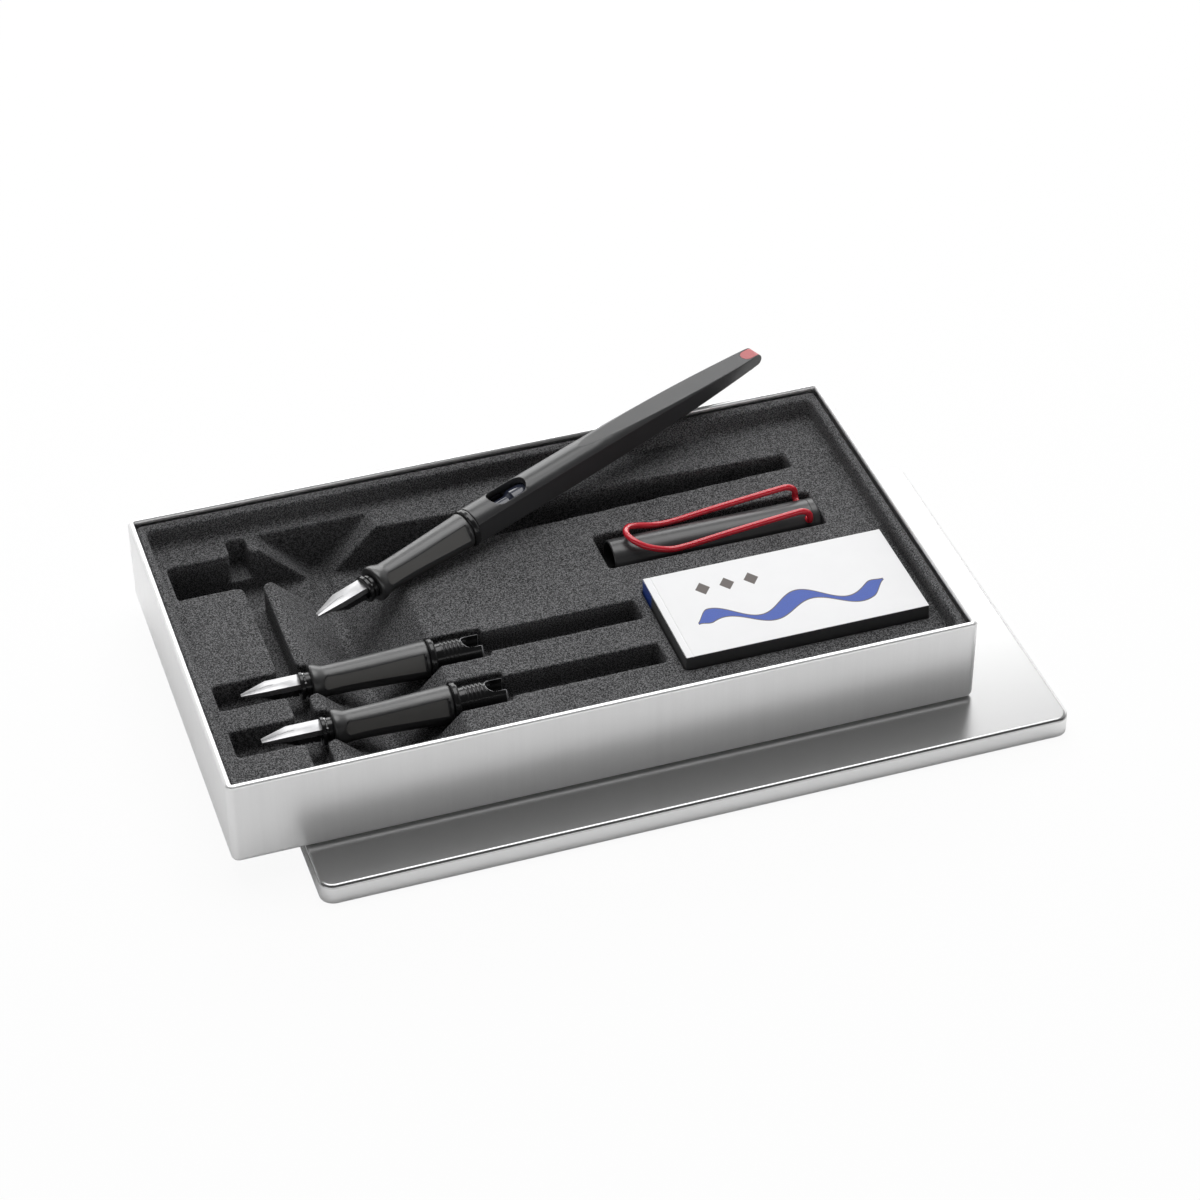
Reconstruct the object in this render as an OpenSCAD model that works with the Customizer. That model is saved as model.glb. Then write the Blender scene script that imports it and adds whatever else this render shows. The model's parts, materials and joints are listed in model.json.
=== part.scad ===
// Calligraphy set in a sheet-metal box: the open box stands on its own lid, and a flocked tray
// inside holds a fountain pen that has been laid across it, two spare nib units, the pen's cap
// and a carton of ink cartridges.
// Sizes are millimetres. The rest frame has its origin on the table, under the middle of the
// whole set, +X along the box and +Z up.

/* [Box] */
// Outside length of the box
box_w = 220; // [200:1:250]
// Outside depth of the box
box_d = 126.5; // [122:0.5:150]
// Height of the box shell
box_h = 27.6; // [26:0.2:36]
// Radius of the box's upright corners
box_r = 2.2; // [2.1:0.1:6]
// Radius of the bottom edge of the box
box_edge_r = 1.8; // [1:0.1:2]
// Thickness of the steel sheet
sheet = 0.8; // [0.5:0.05:1]
// Diameter of the rolled rim
rim_d = 1.9; // [1.7:0.1:2.4]

/* [Lid] */
// Height of the lid
lid_h = 6.25; // [5:0.25:12]
// Play between the lid's skirt and the box, each side
lid_play = 0.6; // [0.3:0.05:1.2]
// How much rounder the lid's upright corners are than its play needs
lid_corner = 0.6; // [0:0.1:2]
// Radius of the lid's top edge
lid_edge_r = 1.2; // [0.9:0.1:1.6]
// How far the lid lies to the right of the box
lid_shift_x = 21.8; // [10:0.2:40]
// How far the lid sticks out in front of the box
lid_shift_y = 17.4; // [10:0.2:25]

/* [Tray] */
// Thickness of the formed sheet
tray_wall = 1; // [0.8:0.1:1.2]
// Depth of the tray's flange below the rim
flange_drop = 2.5; // [2:0.1:4]
// Width of the flange
flange_w = 2.5; // [2:0.1:4]
// Depth of the deck below the flange
well_depth = 6.5; // [5:0.1:8]
// Radius of the well's upright corners
well_r = 1.5; // [1:0.1:4]
// Radius of the corners of the lands between the pockets
land_r = 1.9; // [0.5:0.1:2]
// Play between the tray and the rolled rim
tray_play = 0.3; // [0.2:0.05:0.6]
// Distance from each loose piece to what it lies on
seat_gap = 0.3; // [0.2:0.05:0.4]

/* [Finger trough and cross groove] */
// Left edge of the finger trough at the deck
trough_x = 36; // [35:0.5:37]
// Width of the trough at the deck
trough_w = 36; // [33:0.5:37]
// Width of the trough's floor
trough_floor_w = 3; // [2:0.5:8]
// Distance of the trough's and groove's ends from the back of the box
trough_back = 8.2; // [6.5:0.1:9]
// Left edge of the cross groove
groove_x = 27.2; // [26:0.2:28]
// Width of the cross groove
groove_w = 5.8; // [5:0.2:6.5]
// Depth of the cross groove below the deck
groove_depth = 10; // [8:0.5:11]

/* [Pen slot] */
// Left end of the pen and unit slots
slot_x = 7.8; // [7:0.2:9]
// Front edge of the pen slot
pen_slot_y = 95.1; // [94:0.1:96]
// Width of the pen slot at its left end
pen_slot_w = 15.8; // [14:0.2:16]
// Width of the pen slot at its right end
pen_slot_end_w = 6.8; // [6:0.2:10]
// How far the slot's front edge turns back along its taper
pen_slot_skew = 3.9; // [2:0.1:5]
// Distance of the pen slot's end from the right side of the box
pen_slot_right = 19; // [16:0.5:25]
// Height of the pen slot's floor above the trough's
pen_slot_lift = 1.5; // [0:0.1:2]
// Where the pen slot starts to taper
pen_slot_taper_x = 80; // [76:0.5:100]

/* [Spare nib units] */
// Axis of the front spare unit from the front of the box
spare_b_y = 27.4; // [26:0.1:28]
// Axis of the back spare unit from the front of the box
spare_a_y = 48.3; // [47:0.1:52]
// Nib tip of the front spare unit
spare_b_x = 15.9; // [15:0.1:16.5]
// Nib tip of the back spare unit
spare_a_x = 15.1; // [14:0.1:16.5]
// Depth of the unit axes below the deck
spare_sink = 2; // [1:0.1:3]
// Width of the slot round a nib
nib_slot_w = 11; // [10:0.2:12]
// Width of the slot round a grip
grip_slot_w = 13; // [12.6:0.1:13.4]
// Width of the slot behind a unit
tail_slot_w = 8.8; // [8.6:0.1:10]
// Start of the narrow slot behind a unit
tail_slot_x = 87.5; // [87.5:0.1:90]
// Width of the land between the unit slots and the carton
tail_slot_right = 3.8; // [3:0.1:9]
// Width of the back spare nib's edge
spare_a_edge = 1.1; // [0.6:0.1:2.2]
// Width of the front spare nib's edge
spare_b_edge = 1.9; // [0.6:0.1:2.2]

/* [Nib unit] */
// Length from the nib's edge to the collar
nib_len = 16.9; // [16:0.1:19]
// Width of the nib's shoulders
nib_w = 4.8; // [4.4:0.1:5.4]
// Length of the nib's taper
nib_taper = 7.6; // [6:0.1:9]
// Thickness of the nib's sheet
nib_sheet = 0.35; // [0.3:0.05:0.5]
// Height of the nib's folded sides
nib_side_h = 1.9; // [1.6:0.1:2.1]
// Height of the nib's edge above the unit's axis
nib_rise = 1.2; // [0.8:0.1:1.5]
// Height of the nib's back above the unit's axis
nib_top = 2.6; // [2.3:0.1:2.9]
// Length of the collar in front of the grip
collar_len = 3.2; // [3:0.1:4]
// Radius of the collar's flange
collar_r = 4.1; // [3.9:0.1:4.3]
// Length of the grip
grip_len = 34.6; // [33:0.1:36]
// Radius of the grip's front lip
grip_lip_r = 5.5; // [5.2:0.1:5.6]
// Radius of the grip's waist
grip_waist_r = 4.5; // [4.45:0.05:4.8]
// Radius of the grip's back end
grip_back_r = 5.5; // [5.3:0.1:5.7]
// Distance of the finger flats from the axis at the waist
flat_d = 4; // [3.95:0.05:4.2]
// Distance of the finger flats from the axis at the grip's back
flat_back_d = 4.8; // [4.6:0.05:5]
// Angle of each finger flat from the top
flat_angle = 62; // [58:0.5:66]
// Length of the ring behind the grip
ring_len = 2.1; // [1.8:0.1:2.6]
// Radius of the ring
ring_r = 5.95; // [5.9:0.05:6]
// Radius of the core tube inside the grip
core_r = 3.6; // [3.5:0.05:3.7]
// Radius of the threads
thread_r = 4.2; // [4.15:0.05:4.25]
// Length of the threads
thread_len = 6; // [5:0.2:7]
// Number of thread ridges
thread_count = 5; // [3:1:6]
// Length of the prongs behind the threads
prong_len = 6.4; // [5:0.1:7]
// Width of the notch between the prongs
notch_w = 5; // [4.6:0.1:6.4]

/* [Pen barrel] */
// Length of the whole pen without its cap
pen_len = 172.3; // [165:0.1:180]
// Radius of the barrel at the ring
barrel_r = 5.85; // [5.8:0.01:5.9]
// Radius of the barrel at its tail
barrel_tail_r = 3; // [2.8:0.1:3.3]
// Half width between the side flats at the ring
barrel_flat = 4.4; // [4.35:0.05:4.6]
// Extra half width between the side flats over the threads
barrel_swell = 0.35; // [0.35:0.05:0.5]
// Half width between the side flats at the tail
barrel_tail_flat = 2.5; // [2.4:0.05:2.7]
// Half thickness of the barrel at its tail, and radius of its nose
barrel_tail_h = 1.8; // [1.6:0.1:2]
// Slope of the flat top towards the tail
top_slope = 3.2; // [3:0.05:3.4]
// Radius of the bore round the cartridge
barrel_bore_r = 3.72; // [3.7:0.01:3.8]
// Length of the ink window
window_len = 13.4; // [10:0.2:15]
// Width of the ink window
window_w = 7.2; // [6:0.1:7.6]
// Distance from the ring to the ink window
window_gap = 7.8; // [6:0.1:9]
// Length of the coloured end piece
end_len = 6; // [4:0.1:8]
// Turn of the pen in plan
pen_turn = 22.1; // [21:0.1:23]
// Place of the pen's ring along the box
pen_ring_x = 95.2; // [94:0.1:97]
// Distance of the pen's ring from the front edge of the pen slot
pen_ring_back = 2.9; // [2.5:0.1:3.5]
// Room between the barrel and the back rim, above the rim's top
rim_gap = 0.95; // [0.9:0.05:1.2]

/* [Cap] */
// Length of the cap slot
cap_slot_len = 68.9; // [68.9:0.1:72]
// Distance of the cap slot from the right side of the box
cap_slot_right = 19.15; // [17:0.05:19.4]
// Front edge of the cap slot
cap_slot_y = 69; // [68:0.2:70]
// Width of the cap slot
cap_slot_w = 16.4; // [16:0.1:17]
// Length of the cap
cap_len = 65.5; // [64:0.1:66.5]
// Outside radius of the cap
cap_r = 6.35; // [6.3:0.05:6.5]
// Inside radius of the cap
cap_bore_r = 5.7; // [5.6:0.05:5.75]
// Depth of the cap's axis below the deck
cap_sink = 4.2; // [3.5:0.1:5]
// Length of the cap's end piece
finial_len = 2.3; // [2:0.1:5]
// Length of the sealing sleeve inside the cap
liner_len = 26; // [20:1:30]
// Diameter of the clip's wire
wire_d = 1.9; // [1.6:0.1:1.9]
// Length of the clip from its pins to the end of its loop
clip_len = 56; // [50:0.5:57]
// Height of the clip's legs above the cap's axis
clip_top_z = 9.1; // [8.9:0.1:9.6]
// Half width of the clip between the middles of its legs
clip_half_w = 6.35; // [6.3:0.05:6.5]

/* [Cartridge carton] */
// Length of the carton
pack_w = 74.4; // [72:0.1:76]
// Depth of the carton
pack_d = 38.3; // [38:0.1:40]
// Height of the carton
pack_h = 9.5; // [8.8:0.1:11]
// Height of the carton above the deck
pack_rise = 4; // [3:0.1:5]
// Distance of the carton from the right side of the box
pack_right = 7.8; // [7:0.1:9]
// Front of the carton from the front of the box
pack_y = 17.8; // [16:0.1:19]
// Thickness of the carton's card
card = 0.4; // [0.3:0.05:0.5]
// Play of the carton in its recess
pack_play = 0.35; // [0.25:0.05:0.5]
// Number of cartridges in the carton
ink_count = 5; // [5:1:5]
// Radius of a cartridge's body
ink_r = 3.55; // [3.3:0.05:3.55]
// Room at each end of a cartridge in the carton
ink_room = 3.8; // [3:0.1:5]
// Length of a cartridge's neck
ink_neck = 14.8; // [13:0.2:15.4]
// Radius of a cartridge's neck
ink_neck_r = 2.6; // [2.4:0.05:2.65]
// Length of a cartridge's tail
ink_tail = 3; // [2:0.2:4]
// Length of the end panel's tuck tab
tuck_len = 9; // [7:0.5:12]

/* [Hidden] */
$fn = 64;
eps = 0.01;

// Levels above the underside of the box
lid_reach = sheet + lid_play;
lid_w = box_w + 2 * lid_reach;
lid_d = box_d + 2 * lid_reach;
lid_r = box_r + lid_reach + lid_corner;
flange_z = box_h - flange_drop;
deck_z = flange_z - well_depth;
tray_in = rim_d + tray_play;
well_in = tray_in + flange_w;
deep_z = sheet + seat_gap + tray_wall;
groove_z = deck_z - groove_depth;
trough_end_y = box_d - trough_back;
pen_slot_end_x = box_w - pen_slot_right;
cap_slot_end_x = box_w - cap_slot_right;
cap_slot_x = cap_slot_end_x - cap_slot_len;
pack_x = box_w - pack_right - pack_w;
tail_slot_end_x = pack_x - tail_slot_right;

// Axes of what lies in the tray
spare_z = deck_z - spare_sink;
spare_floor_z = spare_z - ring_r - seat_gap;
cap_z = deck_z - cap_sink;
cap_y = cap_slot_y + cap_slot_w / 2;
cap_floor_z = cap_z - cap_r - seat_gap;
cap_end_x = cap_slot_end_x - 2 * seat_gap;
pack_z = deck_z + pack_rise - pack_h;
pack_floor_z = pack_z - seat_gap;
ink_body = pack_w - ink_neck - ink_tail - 2 * ink_room;
flap_play = card / 4;

// Stations along a nib unit, from the nib's edge
grip_x = nib_len + collar_len;
nib_back_x = grip_x - 1.1;
ring_x = grip_x + grip_len;
neck_x = ring_x + ring_len;
thread_x = neck_x + 1.6;
prong_x = thread_x + thread_len;
core_end_x = prong_x + prong_len;
ink_x = neck_x + 0.6;
ring_mid_x = ring_x + ring_len / 2;
waist_x = grip_x + 5;
flat_x = grip_x + 3.2;

// The pen's grip lies on the right edge of the trough, and its barrel on the back rim
pen_ring_y = pen_slot_y - pen_ring_back;
edge_reach = (pen_ring_x - trough_x - trough_w) / cos(pen_turn);
rim_reach = (box_d - rim_d / 2 - pen_ring_y) / sin(pen_turn);
pen_edge_z = deck_z + seat_gap + grip_radius(ring_mid_x - edge_reach) + 0.03;
pen_rim_z = box_h + rim_gap + barrel_radius(ring_mid_x + rim_reach);
pen_tilt = atan((pen_rim_z - pen_edge_z) / (rim_reach + edge_reach));
pen_ring_z = pen_edge_z + edge_reach * tan(pen_tilt);

// Room that the set takes up, and its middle
pen_reach = (pen_len - ring_mid_x) * cos(pen_tilt);
pen_tail_y = pen_ring_y + pen_reach * sin(pen_turn) + barrel_tail_flat * cos(pen_turn);
set_min_x = min(0, lid_shift_x - lid_reach);
set_max_x = max(box_w, lid_shift_x - lid_reach + lid_w);
set_min_y = -lid_shift_y;
set_max_y = max(box_d, lid_d - lid_shift_y, pen_tail_y);
middle_x = (set_min_x + set_max_x) / 2;
middle_y = (set_min_y + set_max_y) / 2;

function grip_share(x) = min(max((x - waist_x) / (ring_x - 0.5 - waist_x), 0), 1);
function grip_swell(t) = 1 - cos(90 * t + 30 * t * (1 - t));
function grip_radius(x) = grip_waist_r + (grip_back_r - grip_waist_r) * grip_swell(grip_share(x));
function barrel_share(x) = (pen_len - x) / (pen_len - neck_x);
function barrel_radius(x) =
    barrel_tail_r + (barrel_r - barrel_tail_r) * (1 - pow(1 - barrel_share(x), 3.5));
function barrel_half(x) =
    barrel_tail_flat + (barrel_flat - barrel_tail_flat) * (1 - pow(1 - barrel_share(x), 4.5))
    + barrel_swell * pow(barrel_share(x), 3);

// ---------------------------------------------------------------- frames

// From the front left bottom corner of the box to the frame of the set
module in_box() {
    translate([-middle_x, -middle_y, lid_h]) children();
}

module at_spare(tip_x, axis_y) {
    in_box() translate([tip_x, axis_y, spare_z]) children();
}

module at_pen() {
    in_box()
        translate([pen_ring_x, pen_ring_y, pen_ring_z])
            rotate([0, 0, pen_turn])
                rotate([0, -pen_tilt, 0])
                    translate([-ring_mid_x, 0, 0])
                        children();
}

module at_cap() {
    in_box() translate([cap_end_x - cap_len, cap_y, cap_z]) children();
}

module at_pack() {
    in_box() translate([pack_x, pack_y, pack_z]) children();
}

// A shape turned about +X from a profile drawn as [station, radius]
module turned(profile) {
    rotate([90, 0, 90]) rotate_extrude() polygon([for (p = profile) [p[1], p[0]]]);
}

// A round bar along +X
module bar(x0, x1, r) {
    translate([x0, 0, 0]) rotate([0, 90, 0]) cylinder(h = x1 - x0, r = r);
}

// ---------------------------------------------------------------- sheet-metal pans

module rounded_plan(w, d, r) {
    translate([r, 0]) square([w - 2 * r, d]);
    translate([0, r]) square([w, d - 2 * r]);
    for (x = [r, w - r], y = [r, d - r]) translate([x, y]) circle(r);
}

// Section of a solid pan: upright sides, rounded bottom edges
module pan_section(w, h, r) {
    translate([r, 0]) square([w - 2 * r, h]);
    translate([0, r]) square([w, h - r]);
    for (x = [r, w - r]) translate([x, r]) circle(r);
}

// Solid pan, open side up, with upright corners of radius rc and a bottom edge of radius re
module pan_solid(w, d, h, rc, re) {
    translate([rc, 0, 0])
        rotate([90, 0, 90]) linear_extrude(w - 2 * rc) pan_section(d, h, re);
    translate([0, d - rc, 0])
        rotate([90, 0, 0]) linear_extrude(d - 2 * rc) pan_section(w, h, re);
    for (x = [rc, w - rc], y = [rc, d - rc]) {
        translate([x, y, 0])
            rotate_extrude()
                intersection() {
                    translate([-rc, 0]) pan_section(2 * rc, h, re);
                    square([rc, h]);
                }
    }
}

module pan(w, d, h, rc, re) {
    difference() {
        pan_solid(w, d, h, rc, re);
        translate([sheet, sheet, sheet])
            pan_solid(w - 2 * sheet, d - 2 * sheet, h, rc - sheet, max(re - sheet, 0.1));
    }
}

// Round bead along the top edge of a pan
module rolled_rim(w, d, rc) {
    a = rim_d / 2;
    for (y = [a, d - a]) translate([rc, y, 0]) rotate([0, 90, 0]) cylinder(h = w - 2 * rc, r = a);
    for (x = [a, w - a]) translate([x, rc, 0]) rotate([-90, 0, 0]) cylinder(h = d - 2 * rc, r = a);
    for (c = [[rc, rc, 180], [w - rc, rc, 270], [w - rc, d - rc, 0], [rc, d - rc, 90]]) {
        translate([c[0], c[1], 0])
            rotate([0, 0, c[2]])
                rotate_extrude(angle = 90) translate([rc - a, 0]) circle(a, $fn = 32);
    }
}

module box_shell() {
    color("lightgray")
        in_box() {
            pan(box_w, box_d, box_h - rim_d / 2, box_r, box_edge_r);
            translate([0, 0, box_h - rim_d / 2]) rolled_rim(box_w, box_d, box_r);
        }
}

module box_lid() {
    color("silver")
        in_box()
            translate([lid_shift_x - lid_reach, lid_d - lid_shift_y, 0])
                rotate([180, 0, 0])
                    pan(lid_w, lid_d, lid_h, lid_r, lid_edge_r);
}

// ---------------------------------------------------------------- tray

// Slot for the capped pen: straight for the grip end, then a long taper
module pen_slot_plan(grow) {
    back = pen_slot_y + pen_slot_w;
    end_front = pen_slot_y + pen_slot_skew;
    polygon([
        [slot_x - grow, pen_slot_y - grow],
        [pen_slot_taper_x + 20, pen_slot_y - grow],
        [pen_slot_end_x + grow, end_front - grow],
        [pen_slot_end_x + grow, end_front + pen_slot_end_w + grow],
        [pen_slot_taper_x, back - 0.6 + grow],
        [trough_x + trough_w, back + grow],
        [slot_x - grow, back + grow]
    ]);
}

// Slot for a spare unit: nib, grip and threads, then a narrow tail
module unit_slot_plan(axis_y, grow) {
    groove_mid = groove_x + groove_w / 2;
    stations = [
        [slot_x - grow, groove_mid, nib_slot_w],
        [groove_x + 1, tail_slot_x + grow, grip_slot_w],
        [tail_slot_x - 1, tail_slot_end_x + grow, tail_slot_w]
    ];
    for (s = stations) {
        translate([s[0], axis_y - s[2] / 2 - grow]) square([s[1] - s[0], s[2] + 2 * grow]);
    }
}

module groove_plan(grow) {
    translate([groove_x - grow, well_in - grow])
        square([groove_w + 2 * grow, trough_end_y - well_in + 2 * grow]);
}

module cap_slot_plan(grow) {
    translate([cap_slot_x - grow, cap_slot_y - grow])
        square([cap_slot_end_x - cap_slot_x + 2 * grow, cap_slot_w + 2 * grow]);
}

module pack_slot_plan(grow) {
    g = grow + pack_play;
    translate([pack_x - g, pack_y - g]) square([pack_w + 2 * g, pack_d + 2 * g]);
}

// Section of the finger trough, square to +Y
module trough_section(grow) {
    slope = atan((deck_z - deep_z) / ((trough_w - trough_floor_w) / 2));
    middle = trough_x + trough_w / 2;
    top_half = trough_w / 2 + grow / sin(slope);
    floor_half = trough_floor_w / 2 + grow * tan(slope / 2);
    rise = grow > 0 ? 0 : well_depth;
    polygon([
        [middle - top_half, deck_z],
        [middle - floor_half, deep_z - grow],
        [middle + floor_half, deep_z - grow],
        [middle + top_half, deck_z],
        [middle + top_half, deck_z + rise],
        [middle - top_half, deck_z + rise]
    ]);
}

module trough(grow) {
    translate([0, trough_end_y + grow, 0])
        rotate([90, 0, 0])
            linear_extrude(trough_end_y - well_in + 2 * grow)
                trough_section(grow);
}

// A pocket's outside (grow = wall) or inside (grow = 0), given the level of its floor
module sunk(floor_z, grow) {
    top = grow > 0 ? deck_z : flange_z;
    translate([0, 0, floor_z - grow]) linear_extrude(top - floor_z + grow) children();
}

module pockets(grow) {
    sunk(deep_z + pen_slot_lift, grow) pen_slot_plan(grow);
    for (y = [spare_a_y, spare_b_y]) sunk(spare_floor_z, grow) unit_slot_plan(y, grow);
    sunk(groove_z, grow) groove_plan(grow);
    sunk(cap_floor_z, grow) cap_slot_plan(grow);
    sunk(pack_floor_z, grow) pack_slot_plan(grow);
    trough(grow);
}

// What rounds the corner of a land that lies towards [sx, sy] from [x, y]
module land_corner(x, y, sx, sy, floor_z) {
    translate([x, y, floor_z])
        linear_extrude(deck_z - floor_z + eps)
            difference() {
                translate([min(0, sx * land_r), min(0, sy * land_r)]) square(land_r);
                translate([sx * land_r, sy * land_r]) circle(land_r);
            }
}

// Lands left and right of the cross groove, before and behind each slot
module land_corners() {
    right = groove_x + groove_w;
    for (axis_y = [spare_a_y, spare_b_y], side = [-1, 1]) {
        land_corner(groove_x, axis_y + side * nib_slot_w / 2, -1, side, spare_floor_z);
        land_corner(right, axis_y + side * grip_slot_w / 2, 1, side, spare_floor_z);
    }
    for (side_x = [-1, 1]) {
        x = side_x < 0 ? groove_x : right;
        land_corner(x, pen_slot_y, side_x, -1, groove_z);
        land_corner(x, pen_slot_y + pen_slot_w, side_x, 1, groove_z);
    }
}

module inset_plan(inset, r) {
    translate([inset, inset]) rounded_plan(box_w - 2 * inset, box_d - 2 * inset, r);
}

module tray_insert() {
    color("#2b2b2d")
        in_box()
            difference() {
                union() {
                    translate([0, 0, flange_z - tray_wall])
                        linear_extrude(tray_wall) inset_plan(tray_in, well_r);
                    translate([0, 0, deck_z - tray_wall])
                        linear_extrude(flange_z - deck_z + tray_wall)
                            inset_plan(well_in - tray_wall, well_r + tray_wall);
                    pockets(tray_wall);
                }
                translate([0, 0, deck_z]) linear_extrude(well_depth + eps) inset_plan(well_in, well_r);
                pockets(0);
                land_corners();
            }
}

// ---------------------------------------------------------------- nib unit
// Every piece is drawn along +X from the nib's edge, with the top of the nib up

module nib_plan(edge_w, inset) {
    front_x = inset > 0 ? nib_taper * 0.3 : 0;
    back_x = nib_back_x + 2 * inset;
    shoulder = nib_w / 2 - inset;
    front = front_x / nib_taper * (nib_w - edge_w) / 2 + edge_w / 2 - inset;
    polygon([
        [front_x, -front], [nib_taper, -shoulder], [back_x, -shoulder],
        [back_x, shoulder], [nib_taper, shoulder], [front_x, front]
    ]);
}

// Side view of the bent sheet: over the whole width, or only of what lies under it
module nib_side(under) {
    fall = (nib_top - nib_rise) / nib_taper;
    top = under ? nib_sheet : 0;
    back_x = nib_back_x;
    low = under ? nib_top - 3 * nib_side_h : nib_top - nib_side_h;
    front_x = under ? -1 : 0;
    tip_z = nib_rise - nib_sheet;
    polygon([
        [front_x, nib_rise - top + fall * front_x], [nib_taper, nib_top - top],
        [back_x + 1, nib_top - top], [back_x + 1, low],
        [nib_taper + 0.8, low], [front_x, under ? low : tip_z]
    ]);
}

// Bent sheet: a flat back with two sides that fold down over the feed
module nib(edge_w) {
    difference() {
        intersection() {
            translate([0, 0, -nib_top]) linear_extrude(3 * nib_top) nib_plan(edge_w, 0);
            translate([0, nib_w, 0]) rotate([90, 0, 0]) linear_extrude(2 * nib_w) nib_side(false);
        }
        intersection() {
            translate([0, 0, -2 * nib_top]) linear_extrude(4 * nib_top) nib_plan(edge_w, nib_sheet);
            translate([0, nib_w, 0]) rotate([90, 0, 0]) linear_extrude(2 * nib_w) nib_side(true);
        }
    }
}

// Ink feed: a finned half-round bar under the nib and a round stem in the core
module feed() {
    top = nib_top - nib_sheet - 0.06;
    bar_r = nib_w / 2 - nib_sheet - 0.06;
    tip_x = 4.5;
    difference() {
        union() {
            intersection() {
                turned([
                    [tip_x, 0], [tip_x, 0.5], [nib_taper, 1.7], [nib_taper + 2, bar_r + 0.55],
                    [nib_len - 0.5, bar_r + 0.75], [nib_len - 0.5, 0]
                ]);
                translate([0, -bar_r, -nib_w]) cube([nib_len, 2 * bar_r, nib_w + top]);
            }
            translate([nib_taper + 1, -bar_r, 0]) cube([nib_len - nib_taper - 1, 2 * bar_r, top]);
            bar(nib_len - 1, ring_x, 2);
        }
        for (x = [nib_taper + 3 : 1.2 : nib_len - 1.5]) {
            translate([x, -nib_w, -nib_w]) cube([0.45, 2 * nib_w, nib_w - 1.4]);
        }
        translate([0, -nib_w, nib_rise - 0.9])
            rotate([0, -atan((nib_top - nib_rise) / nib_taper), 0])
                translate([-nib_taper, 0, 0.45]) cube([2 * nib_taper, 2 * nib_w, nib_w]);
    }
}

// One moulding: front collar, tube through the grip, threads and two prongs
module core() {
    pitch = thread_len / thread_count;
    ridges = [
        for (i = [0 : thread_count - 1], p = [[0.1, -0.25], [0.3, 0], [0.75, 0], [0.95, -0.25]])
            [thread_x + (i + p[0]) * pitch, thread_r + p[1]]
    ];
    root_r = thread_r - 0.25;
    difference() {
        turned(concat(
            [[nib_len, 0], [nib_len, collar_r - 0.3], [nib_len + 0.3, collar_r],
             [nib_len + 1.1, collar_r], [nib_len + 1.4, collar_r - 0.6], [nib_len + 1.4, 3.1],
             [nib_len + 1.9, 3.1], [nib_len + 1.9, core_r], [neck_x, core_r], [neck_x, root_r]],
            ridges,
            [[prong_x, root_r], [core_end_x - 0.4, root_r], [core_end_x, root_r - 0.4], [core_end_x, 0]]
        ));
        bar(nib_len + 2.2, core_end_x + 1, 2.05);
        bar(ring_x + 0.3, core_end_x + 1, ink_neck_r + 0.2);
        // Seat of the nib and feed
        translate([nib_len - 1, -nib_w / 2 - 0.06, -2.1])
            cube([nib_back_x - nib_len + 1.1, nib_w + 0.12, nib_top + 0.06 + 2.1]);
        // Notch between the prongs
        translate([prong_x + notch_w / 2 + 0.6, 0, -thread_r - 1])
            linear_extrude(2 * thread_r + 2) {
                circle(notch_w / 2, $fn = 48);
                translate([0, -notch_w / 2]) square([prong_len + 2, notch_w]);
            }
    }
}

// Outline of a finger flat, from its round front end at the waist
module flat_plan() {
    half = 2.8;
    front_r = 2.1;
    length = ring_x - 1.6 - flat_x;
    back_r = 0.8;
    translate([front_r, 0]) circle(front_r);
    polygon([
        [front_r, -front_r], [4 * front_r, -half], [length - back_r, -half],
        [length - back_r, half], [4 * front_r, half], [front_r, front_r]
    ]);
    translate([4 * front_r, -half + back_r]) square([length - 4 * front_r, 2 * half - 2 * back_r]);
    for (y = [-half + back_r, half - back_r]) translate([length - back_r, y]) circle(back_r);
}

module finger_flat() {
    fall = atan((flat_back_d - flat_d) / (ring_x - waist_x));
    translate([flat_x, 0, flat_d]) rotate([0, -fall, 0]) linear_extrude(3) flat_plan();
}

// Grip with a flared lip, a waist and two finger flats beside the top
module grip() {
    difference() {
        turned([
            [grip_x, 0], [grip_x, grip_lip_r - 0.7], [grip_x + 0.25, grip_lip_r - 0.2],
            [grip_x + 0.7, grip_lip_r],
            for (t = [0 : 0.125 : 1])
                [grip_x + 0.9 + t * (waist_x - grip_x - 0.9),
                 grip_waist_r + (grip_lip_r - grip_waist_r) * (1 + cos(180 * t)) / 2],
            for (t = [0.1 : 0.1 : 1])
                let (x = waist_x + t * (ring_x - 0.5 - waist_x)) [x, grip_radius(x)],
            [ring_x, grip_back_r - 0.25], [ring_x, 0]
        ]);
        bar(grip_x - 1, ring_x + 1, core_r + 0.05);
        for (side = [-1, 1]) rotate([side * flat_angle, 0, 0]) finger_flat();
    }
}

module ring() {
    difference() {
        turned([
            [ring_x, 0], [ring_x, ring_r - 0.55], [ring_x + 0.25, ring_r - 0.15],
            [ring_x + 0.6, ring_r], [neck_x - 0.6, ring_r], [neck_x - 0.2, ring_r - 0.2],
            [neck_x, ring_r - 0.6], [neck_x, 0]
        ]);
        bar(ring_x - 1, neck_x + 1, core_r + 0.05);
    }
}

// ---------------------------------------------------------------- pen barrel

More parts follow.
